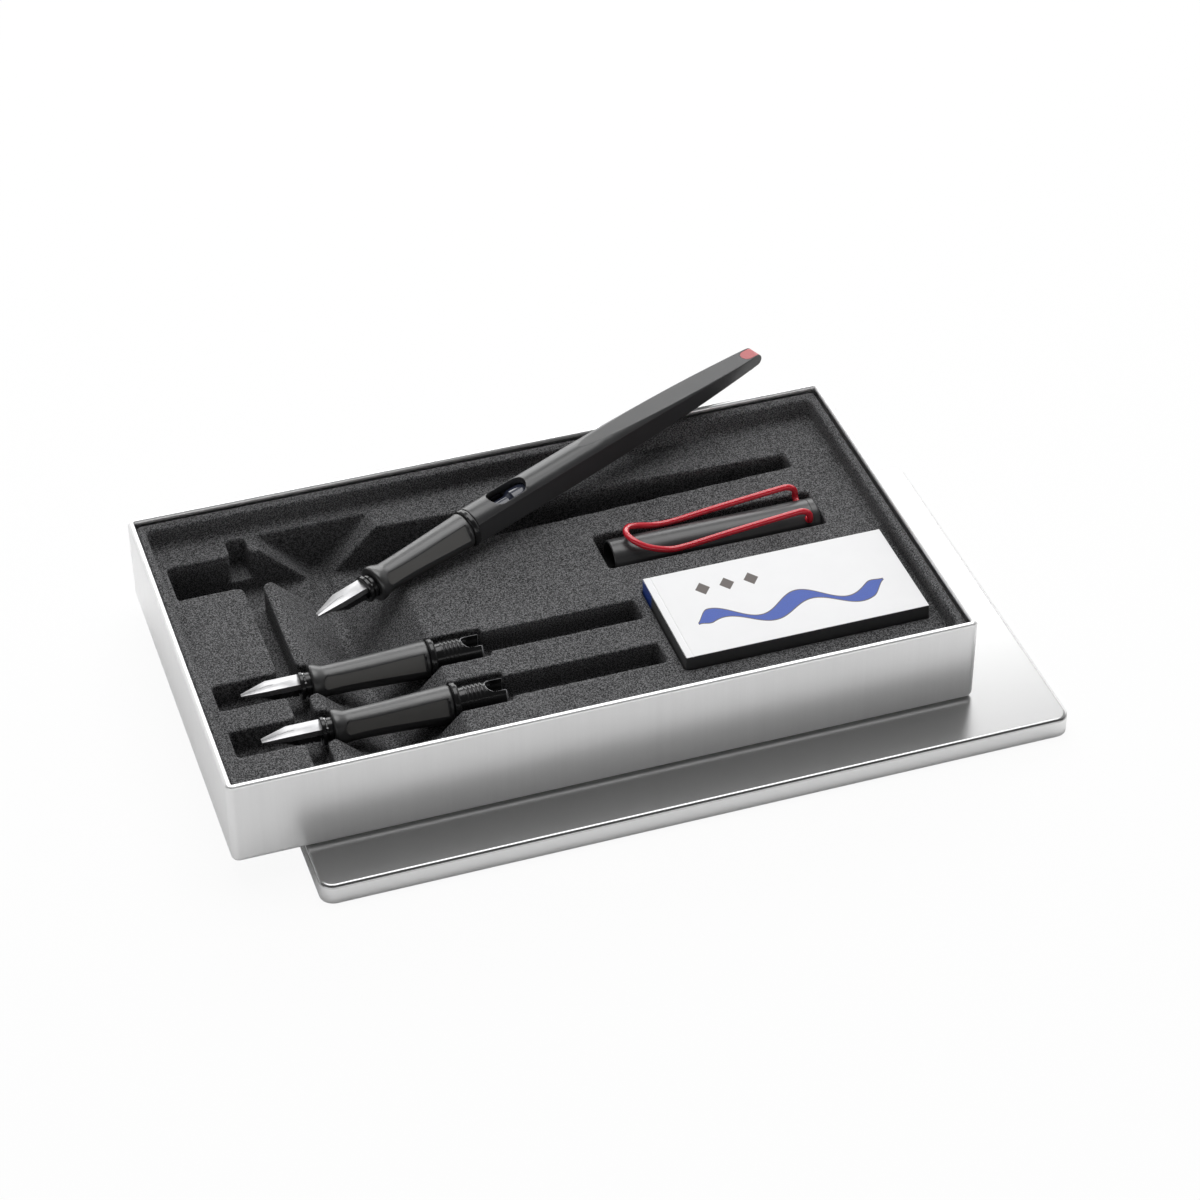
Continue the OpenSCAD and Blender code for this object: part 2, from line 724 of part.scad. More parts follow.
// Outside of the barrel: a tapered round bar with two side flats, a top that turns flat
// towards the tail and a round nose
module barrel_form() {
    steps = 14;
    stations = [for (i = [0 : steps]) neck_x + (pen_len - neck_x) * i / steps];
    nose_x = pen_len - barrel_tail_h;
    top_rise = (nose_x - neck_x + 1) * tan(top_slope);
    intersection() {
        turned(concat(
            [[neck_x, 0], [neck_x, barrel_r - 0.15], [neck_x + 0.15, barrel_r]],
            [for (i = [1 : steps]) [stations[i], barrel_radius(stations[i])]],
            [[pen_len, 0]]
        ));
        translate([0, 0, -barrel_r - 1])
            linear_extrude(2 * barrel_r + 2)
                polygon(concat(
                    [for (x = stations) [x, -barrel_half(x)]],
                    [for (i = [steps : -1 : 0]) [stations[i], barrel_half(stations[i])]]
                ));
        rotate([90, 0, 0])
            translate([0, 0, -barrel_r - 1])
                linear_extrude(2 * barrel_r + 2) {
                    translate([nose_x, 0]) circle(barrel_tail_h);
                    polygon([
                        [neck_x - 1, -barrel_r - 1], [nose_x - 3 * end_len, -barrel_r - 1],
                        [nose_x, -barrel_tail_h], [nose_x, barrel_tail_h],
                        [neck_x - 1, barrel_tail_h + top_rise]
                    ]);
                }
    }
}

// Outline of the coloured end piece between the barrel's two cheeks
module end_plan(play) {
    half = barrel_tail_flat - 0.35;
    x0 = pen_len - end_len;
    translate([x0 + half, 0]) circle(half + play);
    translate([x0 + half, -half - play]) square([end_len, 2 * (half + play)]);
}

module pen_barrel() {
    color("#26272a")
        at_pen()
            difference() {
                barrel_form();
                bar(neck_x - 1, core_end_x + 1, thread_r + 0.06);
                bar(core_end_x, ink_x + ink_neck + ink_body + 6, barrel_bore_r);
                bar(core_end_x, ink_x + ink_neck + ink_body + ink_tail + 7, ink_neck_r + 0.2);
                // Ink window through the top
                translate([neck_x + window_gap, 0, 1.2])
                    linear_extrude(barrel_r) {
                        for (x = [window_w / 2, window_len - window_w / 2])
                            translate([x, 0]) circle(window_w / 2);
                        translate([window_w / 2, -window_w / 2])
                            square([window_len - window_w, window_w]);
                    }
                // Slot for the end piece
                translate([0, 0, -barrel_r]) linear_extrude(2 * barrel_r) end_plan(0.04);
            }
}

module barrel_end_piece() {
    color("#d0303a")
        at_pen()
            intersection() {
                barrel_form();
                translate([0, 0, -barrel_r]) linear_extrude(2 * barrel_r) end_plan(0);
            }
}

// ---------------------------------------------------------------- cartridges and carton

module cartridge() {
    body_x = ink_neck;
    tail_x = ink_neck + ink_body;
    turned([
        [0, 0], [0, ink_neck_r - 0.3], [0.3, ink_neck_r], [body_x - 0.9, ink_neck_r],
        [body_x, ink_r - 0.5], [body_x + 0.5, ink_r], [tail_x - 0.5, ink_r],
        [tail_x, ink_r - 0.5], [tail_x + 0.3, ink_neck_r - 0.1],
        [tail_x + ink_tail - 0.3, ink_neck_r - 0.1],
        [tail_x + ink_tail, ink_neck_r - 0.4], [tail_x + ink_tail, 0]
    ]);
}

module pen_cartridge() {
    color("#3a3d44") at_pen() translate([ink_x, 0, 0]) cartridge();
}

module ink_cartridge(i) {
    pitch = (pack_d - 2 * card) / ink_count;
    color("#27408b")
        at_pack()
            translate([ink_room, card + (i - 0.5) * pitch, card + seat_gap + ink_r])
                cartridge();
}

// Folded card: four walls and the right-hand end
module pack_carton() {
    color("whitesmoke")
        at_pack()
            difference() {
                cube([pack_w, pack_d, pack_h]);
                translate([-1, card, card])
                    cube([pack_w - card + 1, pack_d - 2 * card, pack_h - 2 * card]);
            }
}

// End panel on the left, with the tuck tab that slides in under the top
module pack_end_flap() {
    color("white")
        at_pack()
            difference() {
                translate([0, card + flap_play, card + flap_play])
                    cube([tuck_len, pack_d - 2 * (card + flap_play), pack_h - 2 * (card + flap_play)]);
                translate([card, 0, 0]) cube([tuck_len, pack_d, pack_h - 2 * card - flap_play]);
            }
}

// ---------------------------------------------------------------- cap

clip_pin_x = cap_len - finial_len - wire_d;
clip_pin_z = cap_r * 0.63;

module cap_tube() {
    end_x = cap_len - finial_len;
    color("#232427")
        at_cap()
            difference() {
                turned([
                    [0, 0], [0, cap_r - 0.25], [0.25, cap_r], [end_x - 0.1, cap_r],
                    [end_x, cap_r - 0.1], [end_x, 0]
                ]);
                bar(-1, end_x + 1, cap_bore_r);
                translate([clip_pin_x, 0, clip_pin_z])
                    rotate([90, 0, 0]) cylinder(h = 4 * cap_r, r = wire_d / 2 + 0.06, center = true);
            }
}

module cap_finial() {
    end_x = cap_len - finial_len;
    color("#232427")
        at_cap()
            turned([
                [end_x - 0.9, 0], [end_x - 0.9, cap_bore_r - 0.35], [end_x - 0.6, cap_bore_r - 0.05],
                [end_x, cap_bore_r - 0.05], [end_x, cap_r - 0.1], [end_x + 0.1, cap_r],
                [cap_len - 0.6, cap_r], [cap_len - 0.2, cap_r - 0.2], [cap_len, cap_r - 0.7],
                [cap_len, 0]
            ]);
}

module cap_liner() {
    end_x = clip_pin_x - wire_d;
    color("#3c3d40")
        at_cap()
            difference() {
                bar(end_x - liner_len, end_x, cap_bore_r - 0.05);
                bar(end_x - liner_len - 1, end_x - 1.2, cap_bore_r - 0.8);
            }
}

// Half of the clip's route, from its pin in the cap's side to the middle of the loop
// Steps: along in shares of the clip's length, up in shares of its height above the pin
clip_up = clip_top_z - clip_pin_z;
clip_route = [
    [clip_pin_x, clip_half_w * 0.54, clip_pin_z],
    [clip_pin_x, clip_half_w * 0.69, clip_pin_z],
    [clip_pin_x, clip_half_w * 0.81, clip_pin_z],
    [clip_pin_x, clip_half_w * 0.945, clip_pin_z + 0.063 * clip_up],
    [clip_pin_x, clip_half_w, clip_pin_z + 0.214 * clip_up],
    [clip_pin_x + 0.002 * clip_len, clip_half_w, clip_top_z - 0.464 * clip_up],
    [clip_pin_x - 0.0055 * clip_len, clip_half_w, clip_top_z - 0.161 * clip_up],
    [clip_pin_x - 0.0345 * clip_len, clip_half_w, clip_top_z],
    [clip_pin_x - 0.2545 * clip_len, clip_half_w, clip_top_z - 0.255 * clip_up],
    [clip_pin_x - 0.509 * clip_len, clip_half_w, clip_top_z - 0.569 * clip_up],
    [clip_pin_x - 0.691 * clip_len, clip_half_w, clip_top_z - 0.824 * clip_up],
    [clip_pin_x - 0.8 * clip_len, clip_half_w * 0.992, clip_top_z - 0.824 * clip_up],
    [clip_pin_x - 0.909 * clip_len, clip_half_w * 0.874, clip_top_z - 0.471 * clip_up],
    [clip_pin_x - 0.9745 * clip_len, clip_half_w * 0.559, clip_top_z - 0.157 * clip_up],
    [clip_pin_x - clip_len, 0, clip_top_z - 0.059 * clip_up]
];

function mirrored_y(p) = [p[0], -p[1], p[2]];
function unit(v) = v / norm(v);
function curve_point(a, b, c, d, t) =
    0.5 * (2 * b + (c - a) * t + (2 * a - 5 * b + 4 * c - d) * t * t
    + (3 * b - a - 3 * c + d) * t * t * t);

// Smooth curve through the points, with the given number of steps between two of them
function smooth(p, steps) = [
    for (i = [0 : len(p) - 2], s = [0 : steps - 1])
        curve_point(p[max(i - 1, 0)], p[i], p[i + 1], p[min(i + 2, len(p) - 1)], s / steps),
    p[len(p) - 1]
];
function tangent(p, i) = unit(p[min(i + 1, len(p) - 1)] - p[max(i - 1, 0)]);
function square_to(n, t) = unit(n - (n * t) * t);

// Normals carried along the route without twist
function carried(p, n, i) =
    i == len(p) ? [] : let (m = square_to(n, tangent(p, i))) concat([m], carried(p, m, i + 1));

module swept_tube(p, d, sides) {
    normals = carried(p, [0, 0, 1], 0);
    rings = len(p);
    points = [
        for (i = [0 : rings - 1])
            let (n = normals[i], b = cross(tangent(p, i), n))
                for (k = [0 : sides - 1])
                    p[i] + d / 2 * (cos(360 * k / sides) * n + sin(360 * k / sides) * b)
    ];
    walls = [
        for (i = [0 : rings - 2], k = [0 : sides - 1])
            let (a = i * sides + k, b = i * sides + (k + 1) % sides)
                each [[a, a + sides, b], [b, a + sides, b + sides]]
    ];
    front = [for (k = [0 : sides - 1]) k];
    back = [for (k = [sides - 1 : -1 : 0]) (rings - 1) * sides + k];
    polyhedron(points, concat(walls, [front, back]), convexity = 6);
}

module cap_clip() {
    half = smooth(clip_route, 3);
    far = [for (i = [len(half) - 2 : -1 : 0]) mirrored_y(half[i])];
    color("#c8202f") at_cap() swept_tube(concat(half, far), wire_d, 12);
}

// ---------------------------------------------------------------- the three units

module pen_grip() { color("#303134") at_pen() grip(); }
module pen_core() { color("#1c1d1f") at_pen() core(); }
module pen_ring() { color("#1c1d1f") at_pen() ring(); }
module pen_feed() { color("#151515") at_pen() feed(); }
module pen_nib() { color("#d8d8da") at_pen() nib(1.5); }

module at_a() { at_spare(spare_a_x, spare_a_y) children(); }
module at_b() { at_spare(spare_b_x, spare_b_y) children(); }

module spare_a_grip() { color("#303134") at_a() grip(); }
module spare_a_core() { color("#1c1d1f") at_a() core(); }
module spare_a_ring() { color("#1c1d1f") at_a() ring(); }
module spare_a_feed() { color("#151515") at_a() feed(); }
module spare_a_nib() { color("#d8d8da") at_a() nib(spare_a_edge); }

module spare_b_grip() { color("#303134") at_b() grip(); }
module spare_b_core() { color("#1c1d1f") at_b() core(); }
module spare_b_ring() { color("#1c1d1f") at_b() ring(); }
module spare_b_feed() { color("#151515") at_b() feed(); }
module spare_b_nib() { color("#d8d8da") at_b() nib(spare_b_edge); }

box_lid();
box_shell();
tray_insert();
pen_barrel();
barrel_end_piece();
pen_cartridge();
pen_grip();
pen_core();
pen_ring();
pen_feed();
pen_nib();
spare_a_grip();
spare_a_core();
spare_a_ring();
spare_a_feed();
spare_a_nib();
spare_b_grip();
spare_b_core();
spare_b_ring();
spare_b_feed();
spare_b_nib();
cap_tube();
cap_finial();
cap_liner();
cap_clip();
pack_carton();
pack_end_flap();
ink_cartridge(1);  // ink_cartridge_1
ink_cartridge(2);  // ink_cartridge_2
ink_cartridge(3);  // ink_cartridge_3
ink_cartridge(4);  // ink_cartridge_4
ink_cartridge(5);  // ink_cartridge_5
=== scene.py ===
import json
import math

import bmesh
import bpy
from mathutils import Matrix, Vector


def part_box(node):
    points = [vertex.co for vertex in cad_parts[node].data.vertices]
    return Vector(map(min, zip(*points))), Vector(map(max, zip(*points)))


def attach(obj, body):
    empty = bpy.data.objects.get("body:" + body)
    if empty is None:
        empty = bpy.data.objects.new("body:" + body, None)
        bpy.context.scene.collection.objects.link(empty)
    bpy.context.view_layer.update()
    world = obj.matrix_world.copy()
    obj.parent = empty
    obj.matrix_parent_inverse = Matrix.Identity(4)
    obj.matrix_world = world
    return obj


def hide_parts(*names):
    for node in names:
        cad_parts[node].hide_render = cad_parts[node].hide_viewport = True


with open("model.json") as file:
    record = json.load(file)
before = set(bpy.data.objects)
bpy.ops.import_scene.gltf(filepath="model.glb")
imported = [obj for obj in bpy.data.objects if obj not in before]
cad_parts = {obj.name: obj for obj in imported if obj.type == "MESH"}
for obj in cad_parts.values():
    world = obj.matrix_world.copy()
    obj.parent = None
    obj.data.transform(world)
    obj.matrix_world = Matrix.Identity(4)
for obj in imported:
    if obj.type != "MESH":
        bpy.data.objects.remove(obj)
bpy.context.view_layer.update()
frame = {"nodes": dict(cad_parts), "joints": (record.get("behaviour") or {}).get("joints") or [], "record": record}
cad = frame["nodes"]

MM = 0.001
# Front left bottom corner of the box shell: the box's own millimetres start here
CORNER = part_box("box_shell")[0].copy()


def at(x, y, z):
    """A point in the box's own millimetres, as metres in the frame."""
    return CORNER + Vector((x, y, z)) * MM


def add_object(name, data):
    """A new object, linked to the scene."""
    made = bpy.data.objects.new(name, data)
    bpy.context.collection.objects.link(made)
    return made


# ------------------------------------------------------------------ camera

LENS, SENSOR_WIDTH = 100.546, 36
CAMERA_PLACE = (-114.47, -669.17, 629.45)
CAMERA_RIGHT = Vector((0.9484445, -0.3169038, -0.0049942))
CAMERA_UP = Vector((0.2017470, 0.5914953, 0.7806609))


def make_camera():
    data = bpy.data.cameras.new("camera")
    data.lens, data.sensor_width = LENS, SENSOR_WIDTH
    data.clip_start, data.clip_end = 0.01, 20
    camera = add_object("camera", data)
    axes = (CAMERA_RIGHT, CAMERA_UP, CAMERA_RIGHT.cross(CAMERA_UP))
    turn = Matrix(axes).transposed().to_4x4()
    camera.matrix_world = Matrix.Translation(at(*CAMERA_PLACE)) @ turn
    bpy.context.scene.camera = camera


make_camera()


# ------------------------------------------------------------------ node graphs

# Most of a noise's values lie between these two
NOISE_LOW, NOISE_HIGH = 0.3, 0.7


class Graph:
    """Short hand for nodes and links in one node tree."""

    def __init__(self, tree):
        self.tree = tree

    def add(self, kind, **values):
        node = self.tree.nodes.new(kind)
        for name, value in values.items():
            setattr(node, name, value)
        return node

    def link(self, out, into):
        self.tree.links.new(out, into)

    def feed(self, node, name, value):
        """Sets an input, or links it when value is a socket."""
        if isinstance(value, bpy.types.NodeSocket):
            self.link(value, node.inputs[name])
        else:
            node.inputs[name].default_value = value

    def fill(self, node, **values):
        """Feeds inputs by name, written with _ for each space."""
        for name, value in values.items():
            self.feed(node, name.replace("_", " "), value)

    def math(self, operation, a, b=0.0, c=0.0):
        node = self.add("ShaderNodeMath", operation=operation)
        for i, value in enumerate((a, b, c)):
            self.feed(node, i, value)
        return node.outputs[0]

    def product(self, a, b):
        return self.math("MULTIPLY", a, b)

    def weighted(self, a, share, b):
        """a times its share, and b times the rest."""
        return self.math("MULTIPLY_ADD", a, share, self.product(b, 1 - share))

    def noise(self, vector, scale, detail=2.0, roughness=0.5):
        node = self.add("ShaderNodeTexNoise")
        self.fill(node, Vector=vector, Scale=scale, Detail=detail, Roughness=roughness)
        return node.outputs["Fac"]

    def spread(self, value, low, high, to_low, to_high, smooth=False):
        """Turns low to high into to_low to to_high, and stops at both ends."""
        node = self.add("ShaderNodeMapRange")
        if smooth:
            node.interpolation_type = "SMOOTHSTEP"
        for i, v in enumerate((value, low, high, to_low, to_high)):
            self.feed(node, i, v)
        return node.outputs[0]

    def between(self, noise, to_low, to_high):
        """Spreads the usual values of a noise from to_low to to_high."""
        return self.spread(noise, NOISE_LOW, NOISE_HIGH, to_low, to_high)

    def blend(self, share, a, b):
        """From colour a, at share 0, to colour b, at share 1."""
        node = self.add("ShaderNodeMix", data_type="RGBA")
        self.feed(node, 0, share)
        for i, colour in ((6, a), (7, b)):
            self.feed(node, i, (*colour, 1) if isinstance(colour, tuple) else colour)
        return node.outputs[2]

    def object_place(self):
        return self.add("ShaderNodeTexCoord").outputs["Object"]

    def split(self, vector):
        """The X, Y and Z of a vector."""
        node = self.add("ShaderNodeSeparateXYZ")
        self.link(vector, node.inputs[0])
        return node.outputs

    def looks_up(self, low, high):
        """From 0 to 1 as the upright part of a face's normal goes from low to high."""
        normal = self.add("ShaderNodeNewGeometry").outputs["Normal"]
        return self.spread(self.split(normal)["Z"], low, high, 0, 1)


SOCKETS = {"f": "Float", "v": "Vector", "i": "Int", "m": "Material", "g": "Geometry"}


def make_group(name, tree_type, inputs, outputs):
    """An empty node group, from (label, letter in SOCKETS) pairs, with its two end nodes."""
    tree = bpy.data.node_groups.new(name, tree_type)
    for sockets, side in ((inputs, "INPUT"), (outputs, "OUTPUT")):
        for label, letter in sockets:
            socket_type = "NodeSocket" + SOCKETS[letter]
            tree.interface.new_socket(label, in_out=side, socket_type=socket_type)
    graph = Graph(tree)
    return tree, graph, graph.add("NodeGroupInput").outputs, graph.add("NodeGroupOutput").inputs


def fine_grain_group():
    """Fine moulded or flocked grain: a speckle, a soft mottle and a height."""
    tree, g, into, out = make_group(
        "FineGrain", "ShaderNodeTree",
        [("Vector", "v"), ("Size", "f"), ("Mottle Size", "f")],
        [("Speckle", "f"), ("Mottle", "f"), ("Height", "f")],
    )
    vector, size = into["Vector"], into["Size"]
    fine = g.noise(vector, size, 1.0, 0.6)
    finer = g.noise(vector, g.product(size, 2.3), 0.0)
    both = g.weighted(finer, 0.45, fine)
    g.link(g.spread(both, 0.40, 0.60, 0.0, 1.0), out["Speckle"])
    g.link(g.noise(vector, into["Mottle Size"], 3.0), out["Mottle"])
    g.link(both, out["Height"])
    return tree


def brushed_group():
    """Grain of a brushed sheet. The vector is stretched along the strokes before it comes in."""
    tree, g, into, out = make_group(
        "BrushedGrain", "ShaderNodeTree",
        [("Vector", "v"), ("Size", "f")],
        [("Stroke", "f"), ("Cloud", "f")],
    )
    vector, size = into["Vector"], into["Size"]
    coarse = g.noise(vector, g.product(size, 0.3))
    fine = g.noise(vector, size, 3.0, 0.65)
    g.link(g.weighted(coarse, 0.4, fine), out["Stroke"])
    g.link(g.noise(vector, g.product(size, 0.04)), out["Cloud"])
    return tree


FINE_GRAIN = fine_grain_group()
BRUSHED = brushed_group()


def fine_grain(g, size, mottle_size):
    node = g.add("ShaderNodeGroup", node_tree=FINE_GRAIN)
    g.fill(node, Vector=g.object_place(), Size=size, Mottle_Size=mottle_size)
    return node.outputs


def brushed_grain(g, size, strokes):
    """strokes stretches the grain along x, y and z."""
    stretch = g.add("ShaderNodeMapping")
    g.fill(stretch, Vector=g.object_place(), Scale=strokes)
    node = g.add("ShaderNodeGroup", node_tree=BRUSHED)
    g.fill(node, Vector=stretch.outputs[0], Size=size)
    return node.outputs


# ------------------------------------------------------------------ materials


def new_material(name):
    material = bpy.data.materials.new(name)
    material.use_nodes = True
    graph = Graph(material.node_tree)
    return material, graph, material.node_tree.nodes["Principled BSDF"]


def raised(g, height, distance, strength):
    """The normal of a surface whose grain stands up by distance, in metres."""
    bump = g.add("ShaderNodeBump")
    g.fill(bump, Height=height, Distance=distance, Strength=strength)
    return bump.outputs[0]


def scaled(colour, by):
    return tuple(c * by for c in colour)


def brushed_steel(name, strokes, tone, rough, metallic=1.0, painted_shade_top_tone=None):
    """Brushed sheet. Faces that look up have a darker top tone where it is given, a painted shade, and else tone.
    """
    material, g, surface = new_material(name)
    grain = brushed_grain(g, 900.0, strokes)
    share = g.spread(grain["Stroke"], 0.35, 0.65, 0, 1)
    colour = g.blend(share, (tone * 0.98,) * 3, (tone * 1.01,) * 3)
    # Painted shade: faces that look up, the top and its upper fillets, take the darker top tone.
    if painted_shade_top_tone:
        colour = g.blend(g.looks_up(0.1, 0.35), colour, (painted_shade_top_tone,) * 3)
    g.fill(
        surface, Base_Color=colour, Metallic=metallic,
        Roughness=g.between(grain["Stroke"], rough - 0.01, rough + 0.01),
    )
    return material


def flocked(name):
    """Flocked sheet: short black fibres whose tips catch the light as a fine fleck."""
    material, g, surface = new_material(name)
    grain = fine_grain(g, 2200.0, 45.0)
    fleck = g.product(g.math("POWER", grain["Speckle"], 1.6), 0.85)
    share = g.math("MULTIPLY_ADD", grain["Mottle"], 0.22, fleck)
    g.fill(
        surface, Base_Color=g.blend(share, (0.008, 0.008, 0.0085), (0.22, 0.22, 0.225)),
        Roughness=1.0, Specular_IOR_Level=0.05,
        Normal=raised(g, grain["Height"], 0.0004, 0.5),
    )
    return material


def moulded_black(name, round_colour, flat_or_highlight_colour, rough, gloss=0.5, lift=0.12):
    """Black moulding: glossy where it is round, and matt where the "flat" attribute is 1.

    That is on planed flats, and on the cores' prong edges, where a light flat colour is a painted highlight. gloss
    is the specular level, and lift the strength of the grain's bump.
    """
    material, g, surface = new_material(name)
    grain = fine_grain(g, 2500.0, 130.0)
    flat = g.add("ShaderNodeAttribute", attribute_name="flat").outputs["Fac"]
    mottle = g.between(grain["Mottle"], 0.0, 1.0)
    deep = g.blend(mottle, round_colour, scaled(round_colour, 1.3))
    # On the cores' prong edges this flat colour is a painted highlight.
    matt = g.blend(mottle, flat_or_highlight_colour, scaled(flat_or_highlight_colour, 1.15))
    shine = g.between(grain["Mottle"], rough - 0.02, rough + 0.04)
    g.fill(
        surface, Base_Color=g.blend(flat, deep, matt),
        Roughness=g.math("MULTIPLY_ADD", flat, 0.14, shine), Specular_IOR_Level=gloss,
        Normal=raised(g, grain["Height"], 0.00003, lift),
    )
    return material


def nib_metal(name):
    material, g, surface = new_material(name)
    grain = brushed_grain(g, 2600.0, (0.3, 1, 1))
    share = g.between(grain["Stroke"], 0, 1)
    g.fill(
        surface, Base_Color=g.blend(share, (0.36, 0.36, 0.37), (0.43, 0.43, 0.43)),
        Metallic=1.0, Roughness=g.between(grain["Cloud"], 0.3, 0.4),
        Normal=raised(g, grain["Stroke"], 0.00001, 0.3),
    )
    return material


def red_lacquer(name, colour, rough=0.2, coat=0.6):
    material, g, surface = new_material(name)
    grain = fine_grain(g, 3000.0, 200.0)
    g.fill(
        surface, Base_Color=g.blend(grain["Mottle"], scaled(colour, 0.85), colour),
        Roughness=g.between(grain["Mottle"], rough - 0.04, rough + 0.04),
        Coat_Weight=coat, Coat_Roughness=0.08,
    )
    return material


def ink_plastic(name):
    material, g, surface = new_material(name)
    grain = fine_grain(g, 2200.0, 150.0)
    g.fill(
        surface,
        Base_Color=g.blend(grain["Mottle"], (0.014, 0.017, 0.032), (0.03, 0.036, 0.06)),
        Roughness=g.between(grain["Mottle"], 0.14, 0.22), Coat_Weight=0.4,
    )
    return material


def pen_stroke(g, x, y):
    """A broad-nib stroke: a wave that thickens and thins, with pointed ends.

    Returns where the ink is, and where its grey rim is, ink included.
    """
    wave_length, wave_start, wave_height, wave_middle = 27.0, -1.9, 3.1, 13.2
    thick_lead, thick_change, thickness = 1.25, 1.25, 1.95
    rim, blur = 0.42, 0.04
    swing = g.math("MULTIPLY_ADD", x, math.tau / wave_length, wave_start)
    middle = g.math("MULTIPLY_ADD", g.math("SINE", swing), wave_height, wave_middle)
    thick_swing = g.math("SINE", g.math("ADD", swing, thick_lead))
    reach = g.math("MULTIPLY_ADD", thick_swing, thick_change, thickness)
    ends = g.product(
        g.spread(x, 8.0, 13.0, 0, 1, smooth=True), g.spread(x, 61.0, 67.0, 1, 0, smooth=True)
    )
    off = g.math("ABSOLUTE", g.math("SUBTRACT", y, middle))
    inside = g.math("SUBTRACT", g.product(reach, ends), off)
    within = g.math("GREATER_THAN", ends, 0.02)
    ink = g.product(g.spread(inside, -blur, blur, 0, 1), within)
    return ink, g.product(g.spread(inside, -rim - blur, -rim + blur, 0, 1), within)


def lozenge_row(g, x, y):
    """Three lozenges in a row."""
    pitch, half_length, half_width, row_y = 7.5, 2.3, 2.9, 28.4
    row_start, row_end = 11.3, 33.7
    along = g.math("SUBTRACT", g.math("FRACT", g.math("MULTIPLY_ADD", x, 1 / pitch, -1.5)), 0.5)
    across = g.product(g.math("ABSOLUTE", g.math("SUBTRACT", y, row_y)), 1 / half_width)
    reach = g.math("MULTIPLY_ADD", g.math("ABSOLUTE", along), pitch / half_length, across)
    row = g.product(g.math("GREATER_THAN", x, row_start), g.math("LESS_THAN", x, row_end))
    return g.product(g.spread(reach, 0.97, 1.03, 1, 0), row)


def printed_card(name, corner):
    """White card printed on top with a pen stroke and three lozenges. Its side panels are near black, a painted
    shade.

    corner is the carton's front left bottom corner: the print is laid out in millimetres
    from it. The left end has a blue patch beside its back edge.
    """
    paper_tones = (0.79, 0.79, 0.797), (0.83, 0.83, 0.837)
    painted_shade_side_tones = (0.075, 0.075, 0.077), (0.095, 0.095, 0.097)
    grey, blue = (0.10, 0.083, 0.076), (0.030, 0.076, 0.36)
    patch_from_y, patch_to_x = 30.5, 1.0
    material, g, surface = new_material(name)
    grain = fine_grain(g, 2600.0, 120.0)
    place = g.add("ShaderNodeMapping")
    g.fill(
        place, Vector=g.object_place(), Scale=(1 / MM,) * 3,
        Location=tuple(-c / MM for c in corner),
    )
    layout = g.split(place.outputs[0])
    x, y = layout["X"], layout["Y"]

    stroke, rim = pen_stroke(g, x, y)
    ink = g.blend(grain["Speckle"], blue, scaled(blue, 1.2))
    top = g.blend(rim, g.blend(grain["Mottle"], *paper_tones), grey)
    top = g.blend(lozenge_row(g, x, y), g.blend(stroke, top, ink), grey)
    patch = g.product(
        g.math("GREATER_THAN", y, patch_from_y), g.math("LESS_THAN", x, patch_to_x)
    )
    # Near black on the side panels is painted shade; the blue patch on the left end is print.
    side = g.blend(patch, g.blend(grain["Mottle"], *painted_shade_side_tones), blue)
    g.fill(
        surface, Base_Color=g.blend(g.looks_up(0.35, 0.75), side, top),
        Roughness=g.spread(grain["Speckle"], 0, 1, 0.34, 0.44), Specular_IOR_Level=0.3,
        Normal=raised(g, grain["Height"], 0.00003, 0.2),
    )
    return material


UPRIGHT, EVEN = (1.0, 1.0, 0.02), (1.0, 1.0, 1.0)
FINISH = {
    "metal": brushed_steel("steel_walls", UPRIGHT, tone=0.87, rough=0.33, metallic=0.7),
    "flock": flocked("flock"),
    "barrel_black": moulded_black(
        "barrel_black", (0.030, 0.030, 0.031), (0.024, 0.024, 0.0255), rough=0.31, gloss=0.62
    ),
    "grip_black": moulded_black(
        "grip_black", (0.014, 0.014, 0.0145), (0.072, 0.070, 0.066), rough=0.37, gloss=0.95,
        lift=0.3,
    ),
    # On the cores, the light grey flat colour is a painted highlight on the prong edges.
    "core_black": moulded_black(
        "core_black", (0.006, 0.006, 0.0065), (0.30, 0.30, 0.31), rough=0.18
    ),
    "nib_steel": nib_metal("nib_steel"),
    "clip_red": red_lacquer("clip_red", (0.64, 0.010, 0.028)),
    "end_red": red_lacquer("end_red", (0.50, 0.11, 0.115), rough=0.5, coat=0.0),
    "card_white": printed_card("card_white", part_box("pack_carton")[0]),
    "ink_blue": ink_plastic("ink_blue"),
}
# The lid's top tone is painted shade: its top and upper fillets are darker than its skirt.
LID_STEEL = brushed_steel("steel_lid", EVEN, tone=0.87, rough=0.25, painted_shade_top_tone=0.45)
SLOT_OF = {part["node"]: part["material_slot"] for part in frame["record"]["subparts"]}
for name, slot in SLOT_OF.items():
    node = cad[name]
    for i in range(len(node.material_slots)):
        node.material_slots[i].material = FINISH[slot]
cad["box_lid"].material_slots[0].material = LID_STEEL


# ------------------------------------------------------------------ pieces made over the solids

BODY_OF = {
    node: body
    for body, members in frame["record"]["behaviour"]["bodies"].items()
    for node in members
}
MERGED_WITHIN = 2e-6
FACES_JOIN_BELOW = 0.6
PLANED_FROM = 60e-6


def form_of(mesh):
    form = bmesh.new()
    form.from_mesh(mesh)
    return form


def write_form(form, mesh):
    form.to_mesh(mesh)
    form.free()
    return mesh


def clean_form(node):
    """A solid's mesh with its doubles merged and its flat faces joined."""
    form = form_of(cad[node].data)
    bmesh.ops.remove_doubles(form, verts=form.verts, dist=MERGED_WITHIN)
    bmesh.ops.dissolve_limit(
        form, angle_limit=math.radians(FACES_JOIN_BELOW), verts=form.verts, edges=form.edges,
        delimit=set(),
    )
    return form


def evaluated_mesh(piece):
    """The plain mesh that a piece's modifiers make."""
    graph = bpy.context.evaluated_depsgraph_get()
    return bpy.data.meshes.new_from_object(piece.evaluated_get(graph))


